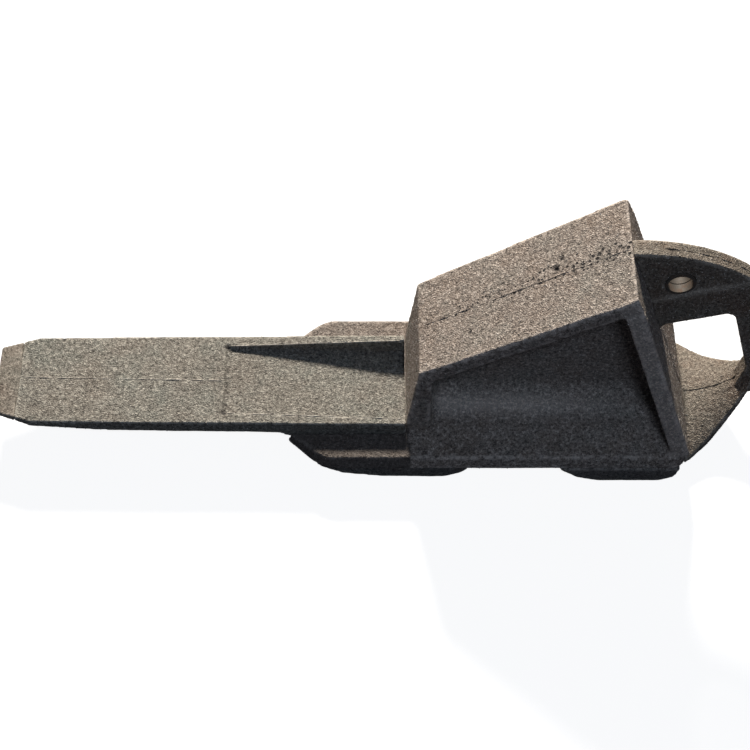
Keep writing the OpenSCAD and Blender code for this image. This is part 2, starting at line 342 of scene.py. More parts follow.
def add_relief(piece, seed):
    """The skin's points, moved along their normals by the slow wave and the finer one."""
    points = read_points(piece.data)
    normals = read_normals(piece.data)
    wave = WAVE_HEIGHT * relief(points, WAVE_SIZE, seed)
    grain = GRAIN_HEIGHT * relief(points, GRAIN_SIZE, seed + 1)
    height = wave + grain
    return points + height[:, None] * normals


def hold_inside(points, node):
    low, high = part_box(node)
    return np.clip(points, np.array(low), np.array(high))


def cast_skin(name, node, voxel, hollow_r, arris_r, steps, seed, carve=None):
    """A cast piece that stands for one CAD node."""
    piece = voxel_skin(name, closed_copy(node), voxel)
    near, points = round_corners(piece, hollow_r, arris_r, steps)
    mark_edges(piece, near, points)
    points = add_relief(piece, seed)
    if carve:
        points = carve(piece, points)
    write_points(piece.data, hold_inside(points, node))
    for polygon in piece.data.polygons:
        polygon.use_smooth = True
    triangles = sum(len(p.vertices) - 2 for p in piece.data.polygons)
    print(f"{name}: {triangles} triangles")
    return piece


# %% [markdown]
# ## Shader groups
#
# Every finish on the tooth is the same steel in a different state, so three effects are built once as
# groups and reused with different numbers: the grain that sand leaves, the slow colour change of mill
# scale and rust, and the wear that brightens an arris, with a painted highlight on top, and the painted
# shade that darkens a hollow. They hand out only masks and heights. The shaders themselves stay in the
# materials.

# %% Group helpers
def new_group(name, inputs, outputs):
    group = bpy.data.node_groups.new(name, "ShaderNodeTree")
    for label, value in inputs:
        socket = group.interface.new_socket(name=label, in_out="INPUT", socket_type="NodeSocketFloat")
        socket.default_value = value
    for label in outputs:
        group.interface.new_socket(name=label, in_out="OUTPUT", socket_type="NodeSocketFloat")
    return group, group.nodes.new("NodeGroupInput"), group.nodes.new("NodeGroupOutput")


def math_node(tree, operation, first, second=None, clamp=False):
    """A Math node; first and second are sockets or numbers. Gives back its output."""
    node = tree.nodes.new("ShaderNodeMath")
    node.operation = operation
    node.use_clamp = clamp
    for socket, value in zip(node.inputs, (first, second)):
        if isinstance(value, (int, float)):
            socket.default_value = value
        elif value is not None:
            tree.links.new(value, socket)
    return node.outputs[0]


def noise_node(tree, where, scale, detail, roughness=0.5):
    node = tree.nodes.new("ShaderNodeTexNoise")
    node.inputs["Detail"].default_value = detail
    node.inputs["Roughness"].default_value = roughness
    tree.links.new(where, node.inputs["Vector"])
    if isinstance(scale, (int, float)):
        node.inputs["Scale"].default_value = scale
    else:
        tree.links.new(scale, node.inputs["Scale"])
    return node.outputs[0]


def ramp(tree, value, low, high):
    """Maps low..high to 0..1, held between them."""
    node = tree.nodes.new("ShaderNodeMapRange")
    node.inputs["From Min"].default_value = low
    node.inputs["From Max"].default_value = high
    node.clamp = True
    tree.links.new(value, node.inputs["Value"])
    return node.outputs["Result"]


# %% Sand grain
def sand_grain_group():
    tree, given, out = new_group("sand_grain", [("Grains per metre", 700.0)], ["Light", "Dark", "Height"])
    where = tree.nodes.new("ShaderNodeTexCoord").outputs["Object"]
    fine = noise_node(tree, where, given.outputs[0], 3.0, 0.65)
    half = math_node(tree, "MULTIPLY", given.outputs[0], 0.47)
    coarse = noise_node(tree, where, half, 2.0, 0.6)
    cells = tree.nodes.new("ShaderNodeTexVoronoi")
    cells.feature = "F1"
    tree.links.new(where, cells.inputs["Vector"])
    tree.links.new(given.outputs[0], cells.inputs["Scale"])
    crumbs = ramp(tree, cells.outputs["Distance"], 0.65, 0.15)
    both = math_node(tree, "ADD", fine, math_node(tree, "MULTIPLY", coarse, 0.8))
    tree.links.new(ramp(tree, both, 0.94, 1.10), out.inputs["Light"])
    tree.links.new(ramp(tree, both, 0.87, 0.70), out.inputs["Dark"])
    height = math_node(tree, "ADD", both, math_node(tree, "MULTIPLY", crumbs, 0.45))
    tree.links.new(height, out.inputs["Height"])
    return tree


SAND_GRAIN = sand_grain_group()
print("group", SAND_GRAIN.name)


# %% Scale and rust
def foundry_tint_group():
    tree, given, out = new_group("foundry_tint", [("Patch size", 30.0)], ["Warm", "Cool"])
    where = tree.nodes.new("ShaderNodeTexCoord").outputs["Object"]
    slow = noise_node(tree, where, given.outputs[0], 4.0, 0.6)
    quick = noise_node(tree, where, math_node(tree, "MULTIPLY", given.outputs[0], 3.3), 3.0, 0.55)
    slow_part = math_node(tree, "MULTIPLY", slow, 0.65)
    quick_part = math_node(tree, "MULTIPLY", quick, 0.35)
    blend = math_node(tree, "ADD", slow_part, quick_part)
    tree.links.new(ramp(tree, blend, 0.50, 0.66), out.inputs["Warm"])
    tree.links.new(ramp(tree, blend, 0.50, 0.36), out.inputs["Cool"])
    return tree


FOUNDRY_TINT = foundry_tint_group()
print("group", FOUNDRY_TINT.name)


# %% Arris wear with a painted highlight, and painted shade in hollows
def edge_wear_highlight_and_shade_group():
    tree, given, out = new_group("edge_wear", [("Roughen", 300.0)], ["Wear", "Dirt"])
    where = tree.nodes.new("ShaderNodeTexCoord").outputs["Object"]
    broken = noise_node(tree, where, given.outputs[0], 2.0)
    arris = tree.nodes.new("ShaderNodeAttribute")
    arris.attribute_name = "arris"
    hollow = tree.nodes.new("ShaderNodeAttribute")
    hollow.attribute_name = "hollow"
    # Worn arrises, made brighter still as a painted highlight.
    torn = math_node(tree, "MULTIPLY", arris.outputs["Fac"], ramp(tree, broken, 0.35, 0.62))
    tree.links.new(ramp(tree, torn, 0.15, 0.8), out.inputs["Wear"])
    # Hollows darkened as painted shade.
    tree.links.new(ramp(tree, hollow.outputs["Fac"], 0.15, 1.0), out.inputs["Dirt"])
    return tree


EDGE_WEAR_HIGHLIGHT_AND_SHADE = edge_wear_highlight_and_shade_group()
print("group", EDGE_WEAR_HIGHLIGHT_AND_SHADE.name)

# %% [markdown]
# ## Pores
#
# Gas gathers under the top of a mould and leaves small dark holes in the last steel to set. Modelling
# hundreds of them would cost far more than they show, so only the big ones are real. The small ones are
# spots from a cell pattern: each cell has its own spot size, and an attribute on the mesh says where
# pores may be.

# %% Pore group
def pores_group():
    tree, given, out = new_group("pores", [("Cells per metre", 300.0), ("Largest", 0.33)], ["Hole"])
    where = tree.nodes.new("ShaderNodeTexCoord").outputs["Object"]
    cells = tree.nodes.new("ShaderNodeTexVoronoi")
    tree.links.new(where, cells.inputs["Vector"])
    tree.links.new(given.outputs[0], cells.inputs["Scale"])
    band = tree.nodes.new("ShaderNodeAttribute")
    band.attribute_name = "pore_band"
    own_size = math_node(tree, "MULTIPLY", cells.outputs["Color"], band.outputs["Fac"])
    size = math_node(tree, "MULTIPLY", own_size, given.outputs[1])
    inside = math_node(tree, "SUBTRACT", size, cells.outputs["Distance"])
    tree.links.new(ramp(tree, inside, -0.02, 0.06), out.inputs["Hole"])
    return tree


PORES = pores_group()
print("group", PORES.name)

# %% [markdown]
# ## Cast steel
#
# Shot blasting leaves raw steel a warm grey with lighter and darker grains about a millimetre across. It
# is a metal under a thin skin of scale, so it is only partly metallic and quite rough. Each casting gets
# its own body colour and its own amount of brown.

# %% Cast steel material
def place_group(tree, group, **values):
    node = tree.nodes.new("ShaderNodeGroup")
    node.node_tree = group
    for label, value in values.items():
        node.inputs[label.replace("_", " ")].default_value = value
    return node


def tint(tree, base, colour, mask, strength):
    """Mixes colour over base where mask is high."""
    mix = tree.nodes.new("ShaderNodeMix")
    mix.data_type = "RGBA"
    tree.links.new(math_node(tree, "MULTIPLY", mask, strength, clamp=True), mix.inputs["Factor"])
    if isinstance(base, tuple):
        mix.inputs["A"].default_value = (*base, 1)
    else:
        tree.links.new(base, mix.inputs["A"])
    mix.inputs["B"].default_value = (*colour, 1)
    return mix.outputs["Result"]


def scaled(colour, red, green=None, blue=None):
    """The colour times one number, or times a number for each channel."""
    if green is None:
        return colour[0] * red, colour[1] * red, colour[2] * red
    return colour[0] * red, colour[1] * green, colour[2] * blue


def add_bump(tree, shader, height, strength, distance):
    """Turns a height into a tilted normal on the shader."""
    node = tree.nodes.new("ShaderNodeBump")
    node.inputs["Strength"].default_value = strength
    node.inputs["Distance"].default_value = distance
    tree.links.new(height, node.inputs["Height"])
    tree.links.new(node.outputs["Normal"], shader.inputs["Normal"])


def mesh_mask(tree, name):
    """A mask stored on the mesh; a mesh that lacks it reads as nought."""
    node = tree.nodes.new("ShaderNodeAttribute")
    node.attribute_name = name
    return node.outputs["Fac"]


PIT_COLOUR = (0.012, 0.010, 0.010)


def cast_steel(name, body, light, dark, warm, warmth, grains=1150.0, bump=1.0, rough=0.70, pitted=False):
    """Blasted cast steel. body is its own colour, light and dark its grains, and warm its brown patches."""
    material = bpy.data.materials.new(name)
    material.use_nodes = True
    tree = material.node_tree
    shader = tree.nodes["Principled BSDF"]
    grain = place_group(tree, SAND_GRAIN, Grains_per_metre=grains)
    patch = place_group(tree, FOUNDRY_TINT, Patch_size=30.0)
    edge = place_group(tree, EDGE_WEAR_HIGHLIGHT_AND_SHADE, Roughen=300.0)
    colour = tint(tree, body, warm, patch.outputs["Warm"], warmth)
    colour = tint(tree, colour, scaled(body, 0.86, 0.98, 1.0), patch.outputs["Cool"], 0.6)
    colour = tint(tree, colour, dark, grain.outputs["Dark"], 0.85)
    colour = tint(tree, colour, light, grain.outputs["Light"], 0.80)
    # Painted shade in the hollows, then worn arrises brightened as a painted highlight.
    colour = tint(tree, colour, scaled(dark, 0.6, 0.6, 0.65), edge.outputs["Dirt"], 0.75)
    colour = tint(tree, colour, light, edge.outputs["Wear"], 0.70)
    # Painted shade on the holder's low parts.
    shade = mesh_mask(tree, "shade")
    colour = tint(tree, colour, dark, shade, 0.80)
    # A painted highlight, broken up by the grain, where the mesh asks for one; the steel is smoother there
    # too.
    gritty = math_node(tree, "ADD", math_node(tree, "MULTIPLY", grain.outputs["Light"], 0.60), 0.40)
    polish = math_node(tree, "MULTIPLY", mesh_mask(tree, "polish"), gritty)
    colour = tint(tree, colour, scaled(light, 1.3), polish, 1.0)
    height = grain.outputs["Height"]
    holes = mesh_mask(tree, "pit")
    if pitted:
        pores = place_group(tree, PORES, Cells_per_metre=400.0, Largest=0.66)
        holes = math_node(tree, "MAXIMUM", holes, pores.outputs["Hole"])
        height = math_node(tree, "SUBTRACT", height, pores.outputs["Hole"])
    colour = tint(tree, colour, PIT_COLOUR, holes, 0.95)
    tree.links.new(colour, shader.inputs["Base Color"])
    roughness = math_node(tree, "ADD", math_node(tree, "MULTIPLY", grain.outputs["Dark"], 0.22), rough)
    roughness = math_node(tree, "SUBTRACT", roughness, math_node(tree, "MULTIPLY", polish, 0.28))
    tree.links.new(roughness, shader.inputs["Roughness"])
    shader.inputs["Metallic"].default_value = 0.10
    shader.inputs["Specular IOR Level"].default_value = 0.35
    add_bump(tree, shader, height, bump, 0.6 * MM)
    print("material", name)
    return material


HOLDER_STEEL = cast_steel(
    "holder_cast_steel", body=(0.245, 0.203, 0.170), light=(0.60, 0.52, 0.45),
    dark=(0.045, 0.037, 0.032), warm=(0.21, 0.148, 0.105), warmth=0.50, pitted=True)
POINT_STEEL = cast_steel(
    "point_cast_steel", body=(0.185, 0.170, 0.142), light=(0.44, 0.41, 0.35),
    dark=(0.045, 0.040, 0.035), warm=(0.17, 0.135, 0.105), warmth=0.45)
# A lighter steel for the fins on the blade and the pocket's ribs: a painted highlight along them.
RIDGE_HIGHLIGHT_STEEL = cast_steel(
    "parting_ridge_steel", body=(0.33, 0.30, 0.255), light=(0.62, 0.57, 0.49),
    dark=(0.12, 0.10, 0.085), warm=(0.28, 0.22, 0.17), warmth=0.4, bump=0.3)
TIP_STEEL = cast_steel(
    "tip_hard_steel", body=(0.150, 0.130, 0.104), light=(0.34, 0.30, 0.25),
    dark=(0.045, 0.037, 0.031), warm=(0.16, 0.115, 0.085), warmth=0.6, bump=0.5)
LUG_STEEL = cast_steel(
    "lug_cast_steel", body=(0.165, 0.135, 0.105), light=(0.38, 0.33, 0.27),
    dark=(0.040, 0.032, 0.027), warm=(0.15, 0.092, 0.060), warmth=0.7)
PAD_STEEL = cast_steel(
    "pad_cast_steel", body=(0.150, 0.132, 0.115), light=(0.34, 0.30, 0.26),
    dark=(0.035, 0.030, 0.028), warm=(0.15, 0.100, 0.072), warmth=0.5)


# %% Turned and blackened steel
RUST_COLOUR = (0.16, 0.085, 0.045)


def turned_steel(name, colour, rough, metallic=0.8):
    """Machined steel with a trace of rust."""
    material = bpy.data.materials.new(name)
    material.use_nodes = True
    tree = material.node_tree
    shader = tree.nodes["Principled BSDF"]
    grain = place_group(tree, SAND_GRAIN, Grains_per_metre=1600.0)
    patch = place_group(tree, FOUNDRY_TINT, Patch_size=90.0)
    coat = tint(tree, colour, RUST_COLOUR, patch.outputs["Warm"], 0.5)
    coat = tint(tree, coat, scaled(colour, 0.5), grain.outputs["Dark"], 0.4)
    tree.links.new(coat, shader.inputs["Base Color"])
    stain = math_node(tree, "MULTIPLY", patch.outputs["Warm"], 0.2)
    tree.links.new(math_node(tree, "ADD", stain, rough), shader.inputs["Roughness"])
    shader.inputs["Metallic"].default_value = metallic
    add_bump(tree, shader, grain.outputs["Height"], 0.15, 0.2 * MM)
    print("material", name)
    return material


BUSH_STEEL = turned_steel("bush_turned_steel", (0.075, 0.064, 0.052), 0.66, metallic=0.2)
SCREW_STEEL = turned_steel("screw_black_steel", (0.07, 0.07, 0.075), 0.42)

# %% [markdown]
# ## The point
#
# The point is the long blade that digs. It has thin straight ribs beside its pocket, so its corners are
# kept tighter than the holder's: small squares, small fillets.

# %% Point
def finish_piece(piece, body, slot, material, *nodes):
    """Gives the piece its finish and its body, and hides the CAD nodes that it stands for. slot is not
    used.
    """
    piece.data.materials.append(material)
    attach(piece, body)
    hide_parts(*nodes)
    return piece


POCKET_FRONT_X = -99 * MM
POCKET_BACK_X = 10 * MM
POCKET_FRONT_Y = 23.5 * MM
POCKET_BACK_Y = 27.7 * MM


NOTCH_DEPTH = 0.8 * MM


def notch_list():
    """(place, radius) of each notch: two at the pocket's corners, a nick in the far edge, two specks."""
    pocket_x = POCKET_FRONT_X + 1 * MM
    return [
        ((pocket_x, -POCKET_FRONT_Y, blade_top), 2.2 * MM),
        ((pocket_x, POCKET_FRONT_Y, blade_top), 2.0 * MM),
        ((-198 * MM, 29 * MM, blade_top), 1.6 * MM),
        ((-203 * MM, -5 * MM, blade_top), 0.7 * MM),
        ((-191 * MM, -5 * MM, blade_top), 0.7 * MM),
    ]


def carve_notches(piece, points):
    """Pushes the blade's skin down at each notch, and darkens it."""
    dark = np.zeros(len(points))
    for spot, radius in notch_list():
        away = np.linalg.norm(points - np.array(spot), axis=1) / radius
        dark = np.maximum(dark, np.clip(1.2 - away**2, 0, 1))
    store(piece.data, "pit", dark)
    return points - dark[:, None] * np.array((0, 0, NOTCH_DEPTH))


point = cast_skin("point_blade", "point", voxel=0.95 * MM, hollow_r=2.2 * MM, arris_r=1.1 * MM, steps=30,
                  seed=1, carve=carve_notches)
finish_piece(point, "point_body", "point_casting", POINT_STEEL, "point")

tip = cast_skin("chisel_tip", "tip_insert", voxel=0.8 * MM, hollow_r=2.0 * MM, arris_r=0.9 * MM, steps=20,
                seed=2)
finish_piece(tip, "point_body", "tip_alloy", TIP_STEEL, "tip_insert")

# %% [markdown]
# ## The holder
#
# The holder's corners are the deep ones, beside the web and at the wall's foot. Its sloping top carries a
# band of pores along the middle, where gas gathered under the mould's top. The larger pores are real
# pits: each point of the skin that lies inside one is pushed down. After that, masks on the mesh say
# where the small pores may be, where a highlight is painted on the shoulder and the wall's edges, and
# where painted shade darkens the low parts.

# %% Pits in the holder's top
PIT_SEED = 11
TOP_LENGTH = (top_back - top_front).length


def top_spot(along, across):
    """A place on the sloping top: a share of its length, and metres from the middle."""
    spot = top_front + top_along * TOP_LENGTH * along
    return np.array((spot.x, across, spot.z))


def pit_list():
    """(centre, radius, depth) of each pit: a few big ones listed one by one, then a band of small ones."""
    pits = [(top_spot(0.66, 6 * MM), 2.1 * MM, 1.7 * MM), (top_spot(0.69, 11 * MM), 1.6 * MM, 1.2 * MM),
            (top_spot(0.655, 3 * MM), 1.1 * MM, 0.9 * MM), (top_spot(0.25, -15 * MM), 1.3 * MM, 0.8 * MM),
            (top_spot(0.20, 2 * MM), 1.0 * MM, 0.6 * MM)]
    rng = np.random.default_rng(PIT_SEED)
    for _ in range(18):
        along = rng.beta(2.4, 1.6)
        across = rng.normal(5, 7) * MM
        size = rng.uniform(0.7, 1.1) * MM
        pits.append((top_spot(along, across), size, size * rng.uniform(0.3, 0.6)))
    return pits


def carve_pits(piece, points):
    """Pushes the holder's skin down inside each pit, and darkens it."""
    dark = np.zeros(len(points))
    drop = np.zeros(len(points))
    for centre, radius, depth in pit_list():
        away = np.linalg.norm(points - centre, axis=1) / radius
        inside = np.clip(1 - away**2, 0, 1)
        drop = np.maximum(drop, depth * inside)
        dark = np.maximum(dark, 1.7 * inside)
    store(piece.data, "pit", dark)
    return points - drop[:, None] * np.array(top_up)


# %% Masks on the holder
TOP_SKIN = 2.5 * MM
PORE_MIDDLE_Y = 3 * MM
PORE_SPREAD = 8 * MM
# Where a highlight is painted on the housing's shoulder and on the wall's edges.
SHOULDER_Y = 20 * MM
SHOULDER_SPREAD = 5.5 * MM
SHOULDER_Z = (30 * MM, 44 * MM)
SHOULDER_FRONT_X = 22 * MM
SHOULDER_BACK_X = 150 * MM
WALL_HALF_TOP = 36.5
WALL_HALF_GAIN = 12
WALL_HIGHLIGHT = 0.62
# Where painted shade darkens the wings, and how strongly.
WING_TOP_Z = 32 * MM
NEAR_WING_BACK_X = 12 * MM
NEAR_PAINTED_SHADE = 0.9
FAR_PAINTED_SHADE = 0.42


def mark_pores(piece, points):
    """Small pores lie along the middle of the sloping top, more of them towards its back."""
    from_front = points - np.array(top_front)
    along = from_front @ np.array(top_along) / TOP_LENGTH
    on_top = np.abs(from_front @ np.array(top_up)) < TOP_SKIN
    middle = np.exp(-((points[:, 1] - PORE_MIDDLE_Y) / PORE_SPREAD) ** 2)
    store(piece.data, "pore_band", on_top * middle * np.clip(0.45 + 0.65 * along, 0, 1))


def paint_highlights(piece, points):
    """Paints a highlight on the housing's shoulder and on the end wall's side edges."""
    x, y, z = points.T
    aside = np.abs(y)
    shoulder = np.exp(-((aside - SHOULDER_Y) / SHOULDER_SPREAD) ** 2)
    shoulder *= (z > SHOULDER_Z[0]) * (z < SHOULDER_Z[1])
    shoulder *= np.clip((x - SHOULDER_FRONT_X) / (10 * MM), 0, 1)
    shoulder *= np.clip((SHOULDER_BACK_X - x) / (70 * MM), 0, 1)
    down = np.clip((wall_top.z - z) / (wall_top.z - wall_foot.z), 0, 1)
    wall_x = wall_top.x + down * (wall_foot.x - wall_top.x)
    wall_half = (WALL_HALF_TOP + WALL_HALF_GAIN * down) * MM
    on_wall = (np.abs(x - wall_x + 5 * MM) < 8 * MM) * (aside > wall_half - 2.5 * MM)
    store(piece.data, "polish", np.maximum(shoulder, WALL_HIGHLIGHT * on_wall * (z > 22 * MM)))


def paint_low_shade(piece, points):
    """Painted shade darkens the low parts: the near wing's skirt most, the far side less."""
    x, y, z = points.T
    low = np.clip((WING_TOP_Z - z) / (6 * MM), 0, 1)
    near_wing = (y < 0) * (x < NEAR_WING_BACK_X)
    store(piece.data, "shade", low * np.where(y > 0, FAR_PAINTED_SHADE, NEAR_PAINTED_SHADE * near_wing))


# %% Holder
def shape_holder(piece, points):
    sunk = carve_pits(piece, points)
    mark_pores(piece, points)
    paint_highlights(piece, points)
    paint_low_shade(piece, points)
    return sunk


holder = cast_skin("holder_casting", "holder", voxel=1.25 * MM, hollow_r=12.0 * MM, arris_r=1.3 * MM,
                   steps=380, seed=3, carve=shape_holder)
finish_piece(holder, "holder_body", "holder_casting", HOLDER_STEEL, "holder")

# %% [markdown]
# ## The lug
#
# The lug plate, its arched edge and the curved tab are one casting. Its inside corners are a little
# tighter than the holder's, and the eye stays round because its own radius is larger than the fillets.

# %% Lug
# A highlight is painted along the shoulder under the eye.
PANEL_EDGE = (Vector((149 * MM, 0, 121.5 * MM)), Vector((215 * MM, 0, 143 * MM)))
PANEL_EDGE_SPREAD = 2.6 * MM
PANEL_HALF = 3.5 * MM


def paint_panel_highlight(piece, points):
    """Paints a highlight along the shoulder under the eye."""
    start = np.array(PANEL_EDGE[0])
    along = np.array((PANEL_EDGE[1] - PANEL_EDGE[0]).normalized())
    offset = (points - start) * np.array((1, 0, 1))
    away = np.linalg.norm(offset - (offset @ along)[:, None] * along, axis=1)
    on_side = np.abs(points[:, 1]) > PANEL_HALF
    store(piece.data, "polish", np.exp(-(away / PANEL_EDGE_SPREAD) ** 2) * on_side)
    return points


lug = cast_skin("lug_casting", "rear_lug", voxel=1.0 * MM, hollow_r=4.5 * MM, arris_r=1.2 * MM, steps=70,
                seed=5, carve=paint_panel_highlight)
finish_piece(lug, "holder_body", "lug_casting", LUG_STEEL, "rear_lug")

# %% [markdown]
# ## Wear pads
#
# The two feet under the flange rub on the ground, so their edges are the roundest of all. They are cast
# in the same way as the rest, with a browner steel.

# %% Wear pads
for number, node in enumerate(("front_pad", "rear_pad")):
    pad = cast_skin(node + "_casting", node, voxel=1.4 * MM, hollow_r=3.0 * MM, arris_r=2.2 * MM, steps=40,
                    seed=7 + number)
    finish_piece(pad, "holder_body", "pad_casting", PAD_STEEL, node)

# %% [markdown]
# ## The parting line
#
# Where the two halves of the mould met, a little steel ran into the gap and left a fin. It was knocked
# off, and a low broken ridge is left along the middle plane: on the blade, up the sloping top, over the
# arched edge, and down the wall onto the tab. The pocket's ribs and the lip in front of the block have a
# fin too. Geometry Nodes makes it: a path becomes a curve, the curve is resampled, its thickness is made
# uneven by noise, and a small round section is swept along it. Half of it lies inside the casting.

# %% Ridge tree
def float_input(tree, name, value, kind="NodeSocketFloat"):
    socket = tree.interface.new_socket(name=name, in_out="INPUT", socket_type=kind)
    if value is not None:
        socket.default_value = value
    return socket.identifier


def ridge_tree():
    """Path in, broken ridge out. Gives back the tree and the identifiers of its named inputs."""
    tree = bpy.data.node_groups.new("parting_ridge", "GeometryNodeTree")
    tree.interface.new_socket(name="Geometry", in_out="INPUT", socket_type="NodeSocketGeometry")
    keys = {
        "step": float_input(tree, "Step", 1.2 * MM),
        "radius": float_input(tree, "Radius", 0.4 * MM),
        "wander": float_input(tree, "Wander", 0.3 * MM),
        "material": float_input(tree, "Material", None, "NodeSocketMaterial"),
    }
    tree.interface.new_socket(name="Geometry", in_out="OUTPUT", socket_type="NodeSocketGeometry")
    add = tree.nodes.new
    link = tree.links.new
    given = add("NodeGroupInput")
    out = add("NodeGroupOutput")
    curve = add("GeometryNodeMeshToCurve")
    even = add("GeometryNodeResampleCurve")
    even.mode = "LENGTH"
    place = add("GeometryNodeInputPosition")
    shake = add("ShaderNodeTexNoise")
    shake.inputs["Scale"].default_value = 55
    shake.inputs["Detail"].default_value = 3
    centred = add("ShaderNodeVectorMath")
    centred.operation = "SUBTRACT"
    centred.inputs[1].default_value = (0.5, 0.5, 0.5)
    offset = add("ShaderNodeVectorMath")
    offset.operation = "SCALE"
    moved = add("GeometryNodeSetPosition")
    broken = add("ShaderNodeTexNoise")
    broken.inputs["Scale"].default_value = 140
    broken.inputs["Detail"].default_value = 2
    uneven = add("ShaderNodeMapRange")
    uneven.inputs["From Min"].default_value = 0.38
    uneven.inputs["From Max"].default_value = 0.62
    uneven.inputs["To Min"].default_value = 0.35
    section = add("GeometryNodeCurvePrimitiveCircle")
    section.inputs["Resolution"].default_value = 6
    sweep = add("GeometryNodeCurveToMesh")
    sweep.inputs["Fill Caps"].default_value = True
    real = add("GeometryNodeRealizeInstances")
    finish = add("GeometryNodeSetMaterial")
    link(given.outputs["Geometry"], curve.inputs["Mesh"])
    link(curve.outputs["Curve"], even.inputs["Curve"])
    link(given.outputs["Step"], even.inputs["Length"])
    link(place.outputs[0], shake.inputs["Vector"])
    link(shake.outputs["Color"], centred.inputs[0])
    link(centred.outputs[0], offset.inputs[0])
    link(given.outputs["Wander"], offset.inputs["Scale"])
    link(even.outputs["Curve"], moved.inputs["Geometry"])
    link(offset.outputs[0], moved.inputs["Offset"])
    link(place.outputs[0], broken.inputs["Vector"])
    link(broken.outputs[0], uneven.inputs["Value"])
    link(moved.outputs["Geometry"], sweep.inputs["Curve"])
    link(given.outputs["Radius"], section.inputs["Radius"])
    link(section.outputs["Curve"], sweep.inputs["Profile Curve"])
    link(uneven.outputs["Result"], sweep.inputs["Scale"])
    link(sweep.outputs["Mesh"], real.inputs["Geometry"])
    link(real.outputs["Geometry"], finish.inputs["Geometry"])
    link(given.outputs["Material"], finish.inputs["Material"])
    link(finish.outputs["Geometry"], out.inputs["Geometry"])
    return tree, keys


RIDGE_TREE, RIDGE_KEYS = ridge_tree()
print("tree", RIDGE_TREE.name, "inputs", sorted(RIDGE_KEYS))


# %% Run a tree and keep its result
def bake(name, mesh, tree, values, limits):
    """Runs a Geometry Nodes tree on a mesh and gives back a plain object inside the given box."""
    host = bpy.data.objects.new(name, mesh)
    bpy.context.scene.collection.objects.link(host)
    modifier = host.modifiers.new("tree", "NODES")
    modifier.node_group = tree
    for identifier, value in values.items():
        modifier[identifier] = value
    made = bpy.data.meshes.new_from_object(host.evaluated_get(bpy.context.evaluated_depsgraph_get()))
    host.modifiers.remove(modifier)
    host.data = made
    made.name = name
    low, high = limits
    write_points(made, np.clip(read_points(made), np.array(low), np.array(high)))
    for polygon in made.polygons:
        polygon.use_smooth = True
    print(f"{name}: {sum(len(p.vertices) - 2 for p in made.polygons)} triangles")
    return host


def path_mesh(name, paths):
    """Open polylines as one mesh of edges."""
    corners = [point for path in paths for point in path]
    edges = []
    start = 0
    for path in paths:
        edges += [(start + k, start + k + 1) for k in range(len(path) - 1)]
        start += len(path)
    mesh = bpy.data.meshes.new(name)
    mesh.from_pydata(corners, edges, [])
    return mesh


def surface_height(piece, x, y, top):
    """Where a ray going straight down meets the piece."""
    hit, place, _, _ = piece.ray_cast(Vector((x, y, top)), Vector((0, 0, -1)))
    return place.z if hit else None


# %% Ridge on the blade and on the tip
def drop_path(piece, from_x, to_x, from_y, to_y, top, steps, sink=0.0):
    """A path along the piece's upper surface."""
    path = []
    for k in range(steps + 1):
        share = k / steps
        x = from_x + (to_x - from_x) * share
        y = from_y + (to_y - from_y) * share
        height = surface_height(piece, x, y, top)
        if height is not None:
            path.append((x, y, height - sink))
    return path


RIDGE_R = 0.60 * MM
RIDGE_STEP = 1.2 * MM
RIB_INSET = 0.3 * MM
RIB_SINK = 0.25 * MM
DROP_FROM_Z = 60 * MM


def ridge(name, path_name, paths, radius, wander, material):
    """Sweeps a broken ridge along each path."""
    return bake(name, path_mesh(path_name, paths), RIDGE_TREE, {
        RIDGE_KEYS["step"]: RIDGE_STEP,
        RIDGE_KEYS["radius"]: radius,
        RIDGE_KEYS["wander"]: wander,
        RIDGE_KEYS["material"]: material,
    }, cad_box)


def straight_path(first, last, from_share, to_share, steps):
    """Points along a straight line, from one share of its length to another."""
    span = to_share - from_share
    return [tuple(first.lerp(last, from_share + span * k / steps)) for k in range(steps + 1)]


blade_path = drop_path(point, from_x=point_low.x + 2 * MM, to_x=-101 * MM, from_y=1.3 * MM, to_y=-1.0 * MM,
                       top=DROP_FROM_Z, steps=60, sink=0.12 * MM)
rib_paths = []
for side in (-1, 1):
    front = Vector((POCKET_FRONT_X, side * (POCKET_FRONT_Y + RIB_INSET), blade_top - RIB_SINK))
    rear = Vector((POCKET_BACK_X, side * (POCKET_BACK_Y + RIB_INSET), blade_top - RIB_SINK))
    rib_paths.append(straight_path(front, rear, 0.03, 0.97, 50))
# These fins wear the lighter steel, a painted highlight.
blade_ridge = ridge("blade_ridge", "blade_path", [blade_path, *rib_paths], RIDGE_R, 0.5 * MM, RIDGE_HIGHLIGHT_STEEL)
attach(blade_ridge, "point_body")

# %% Ridges on the lug, the wall and the tab
RIM_FIRST_DEGREES = 88
RIM_STEP_DEGREES = 1.85
RIM_LAST_DEGREES = -14
RIM_SINK = 0.15 * MM

rim_path = []
for k in range(60):
    angle = math.radians(RIM_FIRST_DEGREES - k * RIM_STEP_DEGREES)
    spot = arch_centre + (arch_r - RIM_SINK) * Vector((math.cos(angle), 0, math.sin(angle)))
    if angle > math.radians(RIM_LAST_DEGREES):
        rim_path.append((min(spot.x, lug_high.x - RIDGE_R), 0, min(spot.z, lug_high.z - RIDGE_R)))
tab_path = drop_path(lug, from_x=178.5 * MM, to_x=207 * MM, from_y=0, to_y=0, top=DROP_FROM_Z, steps=24,
                     sink=0.05 * MM)
lug_ridge = ridge("lug_ridge", "lug_paths", [rim_path, tab_path], RIDGE_R, 0.9 * MM, LUG_STEEL)
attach(lug_ridge, "holder_body")

# %% Ridges on the holder
LIP_HALF = 28

